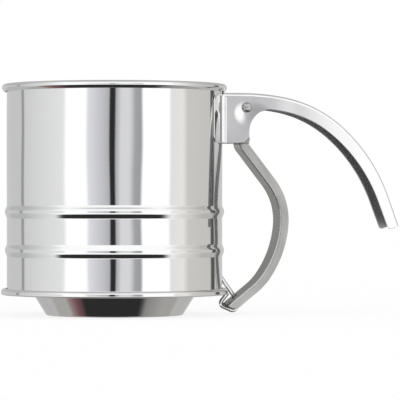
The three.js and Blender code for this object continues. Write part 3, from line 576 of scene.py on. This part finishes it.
def make_rod():
    """One bent wire: an oval eye that lies level round the crank pin, a shank, and the loop at the foot."""
    half_turn, gap = ROD_WIRE + 2.1, 0.5
    # How far the crank pin strays from a straight line, and how far the squeeze pulls it
    sag, stroke = 1.6015, 13.004
    slope, bend = 53.7, 2.5
    eye_centre = Vector((-stroke / 2, sag / 2 - CRANK_RADIUS))
    reach = Vector((FOOT_HOLE[0], 0)) - eye_centre
    length = math.sqrt(reach.length_squared - (half_turn + sag / 2) ** 2)
    drop = ROD_HEIGHT - FOOT_HOLE[1]
    corner = -drop / math.tan(math.radians(slope))
    tangent = bend * math.tan(math.radians(slope) / 2)
    sloped = drop / math.sin(math.radians(slope)) - tangent
    eye = trace((-length, 0), 180, [
        (90, half_turn), (sag,), (180, half_turn), (sag + half_turn - ROD_WIRE - gap,),
    ], 9)
    shank = trace((-length, ROD_HEIGHT), 0, [
        (length + corner - tangent,), (-slope, bend), (sloped + 1.2,), (-36.3, 2.6), (2.1,), (-113, 2.2),
        (4.35,), (-109, 2), (4.6,),
    ], 9)
    points = [(p.x, p.y, ROD_HEIGHT) for p in eye[::-1]] + [(p.x, 0, p.y) for p in shank[1:]]
    across = along(1, ROD_TURN)
    placed = [place(FOOT_HOLE[0] + u * across.x - v * across.y, u * across.y + v * across.x, z)
              for u, v, z in points]
    return smooth(wire("pull_rod_wire", placed, ROD_WIRE, resolution=5), 60)


def make_arm():
    """A channel swept along the arm's line and cut to the arm's side view, with its two wings."""
    root_depth, taper, above, tip_corner, lead = 7.55, 1.8, 2, 1.8, 2
    throat_radius, cheek_corner = 11, 5.8
    line = trace(ARM_START, 0, ARM_MOVES, 2)
    reach = [0]
    for before, after in zip(line, line[1:]):
        reach.append(reach[-1] + (after - before).length)
    lower = []
    for i, point in enumerate(line):
        direction = (line[min(i + 1, len(line) - 1)] - line[max(i - 1, 0)]).normalized()
        lower.append(point - left_of(direction) * (root_depth - taper * reach[i] / reach[-1]))
    throat_x = CUP_RADIUS + CHEEK_LENGTH + throat_radius
    after, throat_top = crossing(lower, throat_x)
    below = lower[after:]
    outline = shifted(line, above)
    outline += rounded([(*line[-1], 0), (*below[-1], tip_corner), (*below[-2], 0)], 10, open_line=True)
    outline += below[-3::-1]
    room = throat_top - throat_radius - CHEEK_FOOT
    corner = min(cheek_corner, room)
    throat = trace((throat_x, throat_top), 180,
                   [(90, throat_radius), (room - corner + 0.001,), (-90, corner)], 6)
    outline += [Vector((point.x, max(point.y, CHEEK_FOOT))) for point in throat]
    outline += [Vector((50, CHEEK_FOOT)), Vector((50, ARM_START[1] + above))]
    moves = [(ARM_MOVES[0][0] + lead,)] + ARM_MOVES[1:]
    arm = channel("arm_stamping", (CUP_RADIUS - lead, ARM_START[1]), 0, moves,
                  width=ARM_WIDTH, depth=26.7, sheet=STRIP_SHEET, bend=1.6, side=-1, step=2)
    combine(arm, plate("arm_side", outline, -10, 10, "Y"), "INTERSECT")
    for side in (1, -1):
        combine(arm, make_wing(side), "UNION")
    combine(arm, plate("cup_space", circle(CUP_RADIUS + 0.3, CUP_STEPS), 70, 120), "DIFFERENCE")
    combine(arm, plate("rivet_hole", circle(1.9, 32, *PIVOT), -12, 12, "Y"), "DIFFERENCE")
    ease_edges(arm, 0.18, 38)
    smooth(arm, 20)

    def painted_shade_share(face):
        """Painted shade on the cut edge at which a wing steps down, for the shadowed slit there."""
        around = math.degrees(math.atan2(abs(face.center.y), face.center.x - AXIS_FOOT.x))
        return 1.0 if abs(around - WING_STEP) < 0.5 and abs(face.normal.z) < 0.5 else 0.0

    mark_inside(arm, ARM_WIDTH / 2 - STRIP_SHEET, Vector((-0.6, 0, -0.8)), painted_shade_share)
    return keep_flats(arm)


def make_wing(side):
    """A wing on the cup beside a cheek: the rounded bend between the two, full sheet, and its thinned rim."""
    face, cheek, bend, thinned = CUP_RADIUS + 1.3, ARM_WIDTH / 2, 1.5, 0.6
    y = cheek + bend
    x = math.sqrt((face + bend) ** 2 - y ** 2)
    start = math.degrees(math.atan2(y, x))
    outline = [Vector((x, y)) + along(bend, 270 - (90 - start) * i / 8) for i in range(9)]
    outline += [along(face, start + (WING_STEP - start) * i / 14) for i in range(1, 15)]
    outline += [along(face - thinned, WING_STEP + (WING_END - WING_STEP) * i / 10) for i in range(11)]
    outline += [along(CUP_RADIUS - 0.7, WING_END - (WING_END - 6) * i / 24) for i in range(25)]
    outline += [Vector((x, outline[-1].y))]
    wing = plate("wing_sheet", [(point.x, side * point.y) for point in outline], CHEEK_FOOT, WING_TOP)
    first, last = side * (cheek - 0.6), side * 32.6
    blank = rounded([(first, 80, 0), (last, CHEEK_FOOT, 4), (last, WING_TOP, 4), (first, 112, 0)], 9)
    return combine(wing, plate("wing_blank", blank, 35, 60, "X"), "INTERSECT")


def make_lever():
    """A bent channel with ears at its neck, a hole for the rod, and flanges rounded off past the web."""
    flange, overrun, hole_back = 4.6, 1.2, 5.1
    line = trace(LEVER_START, LEVER_HEADING, LEVER_MOVES[:-1] + [(14.6,)], 2)
    end = line[-1]
    ahead = (end - line[-2]).normalized()
    opening = left_of(ahead)

    def spot(forward, aside):
        return end + ahead * forward + opening * aside

    lever = channel("lever_stamping", LEVER_START, LEVER_HEADING, LEVER_MOVES,
                    width=LEVER_WIDTH, depth=flange, sheet=STRIP_SHEET, bend=1.3, side=1, step=2)
    foot = rounded([(*spot(-9, flange), 0), (*spot(overrun, flange), 4.4), (*spot(overrun, -2), 0),
                    (*spot(6, -2), 0), (*spot(6, 8), 0), (*spot(-9, 8), 0)], 9)
    combine(lever, plate("foot_corner", foot, -9, 9, "Y"), "DIFFERENCE")
    web_end = [spot(0, -2), spot(4, -2), spot(4, 8), spot(0, 8)]
    combine(lever, plate("web_end", web_end, -5.8, 5.8, "Y"), "DIFFERENCE")
    combine(lever, make_ears(), "UNION")
    hole_at = end - ahead * hole_back
    hole = turned("foot_hole", [(0, -3), (1.75, -3), (1.75, 4), (0, 4)], 32)
    hole.location = place(hole_at.x, 0, hole_at.y) - AXIS_FOOT
    hole.data.transform(turn_about_y(math.atan2(opening.x, opening.y)))
    combine(lever, settle(hole), "DIFFERENCE")
    ease_edges(lever, 0.16, 38)
    smooth(lever, 20)
    # Heights in metres: above the first the neck takes painted shade, below the second the near bend takes
    # none.
    neck_foot, near_bend_unshaded_top = 0.0836, 0.052

    def painted_shade_share(face):
        """Painted shade: the neck, in the shadow behind the arm's cheeks, takes part of it; the web takes
        more lower down, for the darker reflection that it shows there, and the far bend all of it; the near
        bend is left bright lower down.
        """
        height = face.center.z
        if height > neck_foot:
            return 0.6
        if face.normal.x > -0.35 or (face.normal.y < -0.3 and height < near_bend_unshaded_top):
            return 0.0
        return 1.0 if face.normal.y > 0.3 else max(0.3, min(0.6, 0.6 - (height - 0.05) * 10))

    mark_inside(lever, LEVER_WIDTH / 2 - STRIP_SHEET, Vector((1, 0, 0)), painted_shade_share)
    lay_brushing(lever, line)
    return keep_flats(lever)


def turn_about_y(angle):
    """Turns a mesh about the line along Y through the foot of the cup's axis."""
    return Matrix.Translation(AXIS_FOOT) @ Matrix.Rotation(angle, 4, "Y") @ Matrix.Translation(-AXIS_FOOT)


def make_ears():
    """The two ears at the lever's neck, with their bore for the pivot and the web that joins them."""
    half, round_end, web_top = EAR_WIDTH / 2, 4.8, PIVOT[1] - 5.6
    outline = [Vector((LEVER_X, 83.75)), Vector((LEVER_X + 5, 83.75)), Vector((LEVER_X + 5, web_top))]
    outline += trace((PIVOT[0] + round_end, PIVOT[1]), 90, [(180, round_end)], 6)
    outline += [Vector((LEVER_X, PIVOT[1] - round_end))]
    ears = plate("lever_ears", outline, -half, half, "Y")
    between = box_outline(50, 80, 80, 112)
    combine(ears, plate("between_ears", between, STRIP_SHEET - half, half - STRIP_SHEET, "Y"), "DIFFERENCE")
    web = box_outline(LEVER_X, 83.4, LEVER_X + STRIP_SHEET, web_top)
    combine(ears, plate("neck_web", web, -half, half, "Y"), "UNION")
    return combine(ears, plate("ear_bore", circle(2.85, 40, *PIVOT), -9, 9, "Y"), "DIFFERENCE")


def make_rivet():
    face = ARM_WIDTH / 2 + 0.3
    outline = [(0, -face - 0.9), (1.7, -face - 0.9), (2.2, -face - 0.7), (2.4, -face - 0.4), (2.4, -face),
               (1.6, -face), (1.6, face), (2.6, face)] + dome(2.6, face + 0.1, face + 1.6)
    return smooth(turned("rivet_turned", outline, ROUND_STEPS, lying=PIVOT))


def make_spring():
    """A torsion spring round the bush: one leg lies under the arm's web, the other on the lever's neck."""
    coil, turns, pitch, steps = 3.35, 4, 1.55, 110
    arm_line = shifted(trace(ARM_START, 0, ARM_MOVES, 6), -STRIP_SHEET)
    x_end = PIVOT[0] + 12.5
    z_end = crossing(arm_line, x_end)[1] - 0.8
    to_arm = Vector((x_end - PIVOT[0], z_end - PIVOT[1]))
    arm_leg = math.degrees(math.atan2(to_arm.y, to_arm.x) - math.asin(coil / to_arm.length))
    to_web = Vector((LEVER_X + 1.8 - PIVOT[0], -5.6))
    lever_leg = math.degrees(math.atan2(to_web.y, to_web.x) + math.asin(coil / to_web.length)) % 360
    first, last = arm_leg + 90, lever_leg - 90 + 360 * turns
    half_width = (last - first) / 360 * pitch / 2

    def spot(angle, across, forward):
        point = along(coil, angle) + left_of(along(1, angle)) * forward
        return place(PIVOT[0] + point.x, across, PIVOT[1] + point.y)

    points = [spot(first, half_width, -math.sqrt(to_arm.length_squared - coil ** 2))]
    for k in range(steps + 1):
        points.append(spot(first + (last - first) * k / steps, half_width * (1 - 2 * k / steps), 0))
    points += [spot(last, -half_width, 16)]
    return smooth(wire("spring_wire", points, 0.5, resolution=3), 60)


# Finishes
# Painted shade: the darker colours that the marked faces of the arm and the lever take for the shade in their
# channels and at the neck; the warm one also stands for the warm, dark reflection on the lever's web.
PAINTED_SHADE_GREY, PAINTED_SHADE_WARM = (0.42, 0.42, 0.428), (0.235, 0.238, 0.212)


class Signal:
    """A socket of a material, so that its maths can be written as an expression."""

    def __init__(self, finish, socket):
        self.finish, self.socket = finish, socket

    def maths(self, operation, first, second=0):
        return self.finish.node("ShaderNodeMath", {"operation": operation}, {0: first, 1: second})

    def __add__(self, other):
        return self.maths("ADD", self, other)

    def __radd__(self, other):
        return self.maths("ADD", other, self)

    def __sub__(self, other):
        return self.maths("SUBTRACT", self, other)

    def __rsub__(self, other):
        return self.maths("SUBTRACT", other, self)

    def __mul__(self, other):
        return self.maths("MULTIPLY", self, other)

    def __rmul__(self, other):
        return self.maths("MULTIPLY", other, self)

    def __truediv__(self, other):
        return self.maths("DIVIDE", self, other)

    def __gt__(self, other):
        return self.maths("GREATER_THAN", self, other)

    def __lt__(self, other):
        return self.maths("LESS_THAN", self, other)

    def __pow__(self, other):
        return self.maths("POWER", self, other)


class Finish:
    """A material or world whose nodes are added by one method."""

    def __init__(self, owner):
        owner.use_nodes = True
        self.tree = owner.node_tree
        self.tree.nodes.clear()

    def node(self, kind, settings=None, sockets=None, output=0):
        """Adds a node with its settings and with the values or links of its sockets, and gives an output."""
        made = self.tree.nodes.new(kind)
        for key, value in (settings or {}).items():
            if key == "stops":
                ramp = made.color_ramp
                while len(ramp.elements) < len(value):
                    ramp.elements.new(1)
                for element, (position, colour) in zip(ramp.elements, value):
                    element.position = position
                    element.color = (*colour, 1)
            else:
                setattr(made, key, value)
        for key, value in (sockets or {}).items():
            if isinstance(value, Signal):
                self.tree.links.new(value.socket, made.inputs[key])
            else:
                made.inputs[key].default_value = value
        return Signal(self, made.outputs[output]) if len(made.outputs) else made


def grain(finish, scale, detail=4, rough=0.55, follow=None):
    """Noise stretched by scale, on the object's own coordinates or along the attribute that it follows."""
    if follow:
        where = finish.node("ShaderNodeAttribute", {"attribute_name": follow}, output="Vector")
    else:
        where = finish.node("ShaderNodeTexCoord", output="Object")
    stretched = finish.node("ShaderNodeMapping", {}, {"Vector": where, "Scale": scale})
    return finish.node("ShaderNodeTexNoise", {}, {
        "Vector": stretched, "Scale": 1, "Detail": detail, "Roughness": rough}, output="Fac")


def between(finish, share, low, high):
    """A colour between two, by share."""
    low, high = [end if isinstance(end, Signal) else (*end, 1) for end in (low, high)]
    return finish.node("ShaderNodeMix", {"data_type": "RGBA"}, {"Factor": share, 6: low, 7: high}, output=2)


def rises(finish, value, low, high, top=1.0):
    """A soft step from 0 up to top, as a value goes from low to high."""
    return finish.node("ShaderNodeMapRange", {"interpolation_type": "SMOOTHSTEP"},
                       {"Value": value, "From Min": low, "From Max": high, "To Max": top})


def dished(finish, depth):
    """Relief of a sheet drawn in round the pivot when its rivet was closed, depth in millimetres.

    The dish's middle lies a little below the rivet, and it reaches twice as far towards the handle.
    """
    where = finish.node("ShaderNodeTexCoord", output="Object")
    x = finish.node("ShaderNodeSeparateXYZ", {}, {"Vector": where}, "X") - place(PIVOT[0] - 0.3, 0, 0).x
    z = finish.node("ShaderNodeSeparateXYZ", {}, {"Vector": where}, "Z") - place(0, 0, PIVOT[1] - 2.8).z
    x = x - (x > 0) * x * 0.5
    return rises(finish, (x * x + z * z) ** 0.5, 0.0005, 0.0065, depth)


def steel(name, dark, light, rough, spread, streaks, waviness, wave_scale, scratch, inside=None, dish=0,
          follow=None):
    """Bare stainless steel: a tint, fine polishing lines, faint smears and the sheet's slight waviness.

    The waves and the polishing lines are as deep as waviness and scratch say, in thousandths of a millimetre.
    Marked faces take the colour called inside, a painted shade, and are duller. The lines follow an attribute
    if one is named.
    """
    material = bpy.data.materials.new(name)
    finish = Finish(material)
    smears = grain(finish, (60, 60, 45), 3)
    lines = grain(finish, streaks, 2, 0.6, follow)
    waves = grain(finish, wave_scale, 1, 0.4)
    colour = between(finish, smears * 0.6 + lines * 0.4, dark, light)
    roughness = rough + (smears - 0.5) * spread + (lines - 0.5) * (spread * 0.8)
    # Marked faces get a painted shade in their colour by their marked share, and a rougher finish.
    if inside:
        shade_and_dullness = finish.node("ShaderNodeAttribute", {"attribute_name": "inside"}, output="Fac")
        colour = between(finish, shade_and_dullness, colour, inside)
        roughness = roughness + shade_and_dullness * 0.3
    relief = waves * (waviness / 1000) + lines * (scratch / 1000)
    if dish:
        relief = relief + dished(finish, dish)
    normal = finish.node("ShaderNodeBump", {}, {"Strength": 1.0, "Distance": 0.001, "Height": relief})
    shader = finish.node("ShaderNodeBsdfPrincipled", {}, {
        "Base Color": colour, "Metallic": 1.0, "Roughness": roughness, "Normal": normal})
    finish.node("ShaderNodeOutputMaterial", {}, {"Surface": shader})
    return material


finishes = {
    "cup": steel("mirror_polished_cup", (0.80, 0.805, 0.815), (0.86, 0.862, 0.868), 0.045, 0.03,
                 (40, 40, 2600), 1100, (20, 20, 16), 0.6),
    "base": steel("mirror_polished_base", (0.79, 0.79, 0.795), (0.85, 0.85, 0.85), 0.06, 0.04,
                  (60, 60, 2400), 40, (26, 26, 20), 1),
    "arm": steel("polished_arm", (0.82, 0.82, 0.83), (0.90, 0.90, 0.90), 0.07, 0.04,
                 (80, 300, 80), 150, (36, 36, 36), 1, PAINTED_SHADE_GREY, dish=0.1),
    "lever": steel("brushed_lever", (0.30, 0.296, 0.285), (0.74, 0.735, 0.72), 0.22, 0.14,
                   (40, 1000, 1000), 40, (40, 40, 30), 6, PAINTED_SHADE_WARM, follow="brushed"),
    "rivet": steel("polished_rivet", (0.40, 0.405, 0.41), (0.52, 0.522, 0.525), 0.24, 0.1,
                   (900, 900, 900), 10, (200, 200, 200), 3),
    "satin": steel("satin_small_parts", (0.66, 0.665, 0.67), (0.76, 0.762, 0.765), 0.26, 0.12,
                   (900, 900, 900), 10, (120, 120, 120), 6),
    "wire": steel("drawn_wire", (0.66, 0.66, 0.665), (0.80, 0.80, 0.80), 0.13, 0.08,
                  (700, 700, 700), 10, (160, 160, 160), 3),
    "screen": steel("woven_screen_wire", (0.52, 0.525, 0.53), (0.66, 0.66, 0.665), 0.3, 0.1,
                    (1200, 1200, 1200), 5, (200, 200, 200), 4),
}


def finish_piece(piece, finish, body, node):
    """Gives a piece its finish, hangs it on the body that it rides on, and hides the node that it stands for.
    """
    piece.data.materials.clear()
    piece.data.materials.append(finishes[finish])
    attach(piece, body)
    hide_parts(node)


finish_piece(make_cup(), "cup", "cup", "cup_body")
finish_piece(make_base(), "base", "cup", "base_funnel")
finish_piece(make_screen(), "screen", "cup", "sieve_mesh")
finish_piece(make_bridge(), "satin", "cup", "support_bridge")
finish_piece(make_centre_pin(), "satin", "cup", "centre_pin")
washer = make_washer("washer_on_screen", 2.2, 5, 11.7, 12.5)
finish_piece(washer, "satin", "cup", "screen_washer")
washer = make_washer("washer_on_hub", 2.2, 4.6, 15.6, 16.2)
finish_piece(washer, "satin", "cup", "hub_washer")
finish_piece(make_hub(), "satin", "agitator", "agitator_hub")
for number in range(1, 5):
    finish_piece(make_blade(number), "wire", "agitator", f"agitator_blade_{number}")
finish_piece(make_crank_pin(), "satin", "agitator", "crank_pin")
finish_piece(make_rod(), "wire", "rod", "pull_rod")
finish_piece(make_arm(), "arm", "cup", "handle_arm")
finish_piece(make_lever(), "lever", "lever", "squeeze_lever")
finish_piece(make_rivet(), "rivet", "cup", "pivot_rivet")
for name, inner, outer, low, high, node in (
    ("bush_on_rivet", 1.9, 2.5, -6.6, 6.6, "pivot_bush"),
    ("washer_front", 2.8, 4.4, 6.1, 6.6, "pivot_washer_front"),
    ("washer_back", 2.8, 4.4, -6.6, -6.1, "pivot_washer_back"),
):
    finish_piece(make_washer(name, inner, outer, low, high, 0.1, PIVOT), "satin", "cup", node)
spring = make_spring()
place(PIVOT[0], 2.8, PIVOT[1])
place(PIVOT[0], -2.8, PIVOT[1])
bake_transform(spring)
finish_piece(spring, "wire", "cup", "return_spring")

# Studio: the camera's direction in degrees from the front, and its distance, height and place to the right in
# millimetres
PHOTO_AZIMUTH, DISTANCE, CAMERA_HEIGHT, CAMERA_ASIDE = -14.0, 1365.0, 56.1, 41.7
FOCAL_PIXELS, PHOTO_PIXELS, SENSOR_WIDTH = 2795.0, 400, 36
TENT_LIGHT = 1.25
to_camera = Vector((math.sin(math.radians(PHOTO_AZIMUTH)), -math.cos(math.radians(PHOTO_AZIMUTH)), 0))
to_right = Vector((-to_camera.y, to_camera.x, 0))

camera_data = bpy.data.cameras.new("photo_camera")
camera = bpy.data.objects.new("photo_camera", camera_data)
bpy.context.scene.collection.objects.link(camera)
camera_data.sensor_width = SENSOR_WIDTH
camera_data.lens = SENSOR_WIDTH * FOCAL_PIXELS / PHOTO_PIXELS
camera_data.clip_end = 20
camera.location = place(0, 0, CAMERA_HEIGHT) + (to_right * CAMERA_ASIDE + to_camera * DISTANCE) / 1000
camera.rotation_euler = (math.pi / 2, 0, math.radians(PHOTO_AZIMUTH))
bpy.context.scene.camera = camera


def make_floor():
    """A white floor that takes the object's shadow; a first reflection sees the light tent in its place."""
    bpy.ops.object.select_all(action="DESELECT")
    bpy.ops.mesh.primitive_circle_add(vertices=96, radius=2.5, fill_type="NGON", location=(0, 0, -0.0002))
    floor = settle(bpy.context.object)
    floor.name = "studio_floor"
    material = bpy.data.materials.new("floor_white")
    finish = Finish(material)
    seen = finish.node("ShaderNodeEmission", {}, {"Color": (1, 1, 1, 1), "Strength": 1.13})
    paint = finish.node("ShaderNodeBsdfDiffuse", {}, {"Color": (0.85, 0.85, 0.85, 1)})
    open_air = finish.node("ShaderNodeBsdfTransparent")
    camera_ray = finish.node("ShaderNodeLightPath", output="Is Camera Ray")
    glossy_ray = finish.node("ShaderNodeLightPath", output="Is Glossy Ray")
    first_bounce = finish.node("ShaderNodeLightPath", output="Ray Depth") < 1.5
    # To the camera, three quarters of the floor's white is its own, so that the shadow stays faint.
    white = finish.node("ShaderNodeMixShader", {}, {0: camera_ray * 0.75, 1: paint, 2: seen})
    shader = finish.node("ShaderNodeMixShader", {}, {0: glossy_ray * first_bounce, 1: white, 2: open_air})
    finish.node("ShaderNodeOutputMaterial", {}, {"Surface": shader})
    floor.data.materials.append(material)


def make_world():
    """A light tent, brighter and darker by direction, with the slit that the camera looks through."""
    world = bpy.data.worlds.new("light_tent")
    bpy.context.scene.world = world
    finish = Finish(world)
    direction = finish.node("ShaderNodeTexCoord", output="Generated")

    def dot(vector):
        return finish.node("ShaderNodeVectorMath", {"operation": "DOT_PRODUCT"}, {0: direction, 1: vector},
                           "Value")

    def ring(bands):
        """Bands round the object, each a direction in degrees from the camera, a level and perhaps a tint."""
        stops = []
        for degrees, level, *tint in bands:
            shares = tint[0] if tint else (1, 1, 1)
            stops.append((degrees / 360 + 0.5, [level / TENT_LIGHT * share for share in shares]))
        return finish.node("ShaderNodeValToRGB", {"stops": stops}, {"Fac": turns})

    angle = finish.node("ShaderNodeMath", {"operation": "ARCTAN2"}, {0: dot(to_right), 1: dot(to_camera)})
    turns = angle / (2 * math.pi) + 0.5
    warm, cool = (1, 0.985, 0.945), (0.985, 0.985, 1.02)
    # The tent at the object's own level, its slopes above and below that, and the dark zone far below
    tent = ring([
        (-180, 0.62), (-117, 0.64), (-115, 0.34), (-112, 0.34), (-110, 0.70), (-54, 0.90), (-50, 1.22),
        (-28.6, 1.22), (-25.2, 0.86, cool), (-8, 0.60, cool), (-3.6, 0.50, cool), (-3.0, 0.03, cool),
        (1.6, 0.03, cool), (2.2, 0.45, cool), (5, 0.60, cool), (7.5, 0.80, cool), (16, 0.80), (19, 0.66),
        (22, 0.44, cool), (28.4, 0.40, cool), (29.2, 0.52, cool), (30, 0.92), (31.2, 1.22), (62, 1.22),
        (65, 0.88), (80, 0.93, warm), (87, 0.68, warm), (124, 0.64, warm), (127, 0.10), (134, 0.10),
        (137, 0.62), (180, 0.62),
    ])
    slopes = ring([
        (-180, 0.5), (-115, 0.54), (-75, 0.85), (-60, 1.15), (65, 1.15), (80, 0.9, warm), (115, 0.54, warm),
        (180, 0.5),
    ])
    below = ring([
        (-180, 0.42, warm), (-104, 0.45, warm), (-98, 0.32, (1, 0.76, 0.74)), (-88, 0.2, (1, 0.5, 0.54)),
        (-80, 0.13, (1, 0.5, 0.58)), (-73, 0.03), (66, 0.03), (72, 0.08), (80, 0.28, warm), (110, 0.42, warm),
        (180, 0.42, warm),
    ])
    height = dot(Vector((0, 0, 1)))
    walls = between(finish, rises(finish, height * height, 0.008, 0.06), tent, slopes)
    colour = between(finish, rises(finish, height, -0.60, -0.56), below, walls)
    colour = between(finish, rises(finish, height, 0.70, 0.86), colour, (0.42, 0.42, 0.42))
    lit = finish.node("ShaderNodeBackground", {}, {"Color": colour, "Strength": TENT_LIGHT})
    seen = finish.node("ShaderNodeBackground", {}, {"Color": (1, 1, 1, 1), "Strength": 1.0})
    camera_ray = finish.node("ShaderNodeLightPath", output="Is Camera Ray")
    shader = finish.node("ShaderNodeMixShader", {}, {0: camera_ray, 1: lit, 2: seen})
    finish.node("ShaderNodeOutputWorld", {}, {"Surface": shader})


make_floor()
make_world()
bpy.context.scene.view_settings.view_transform = "Standard"
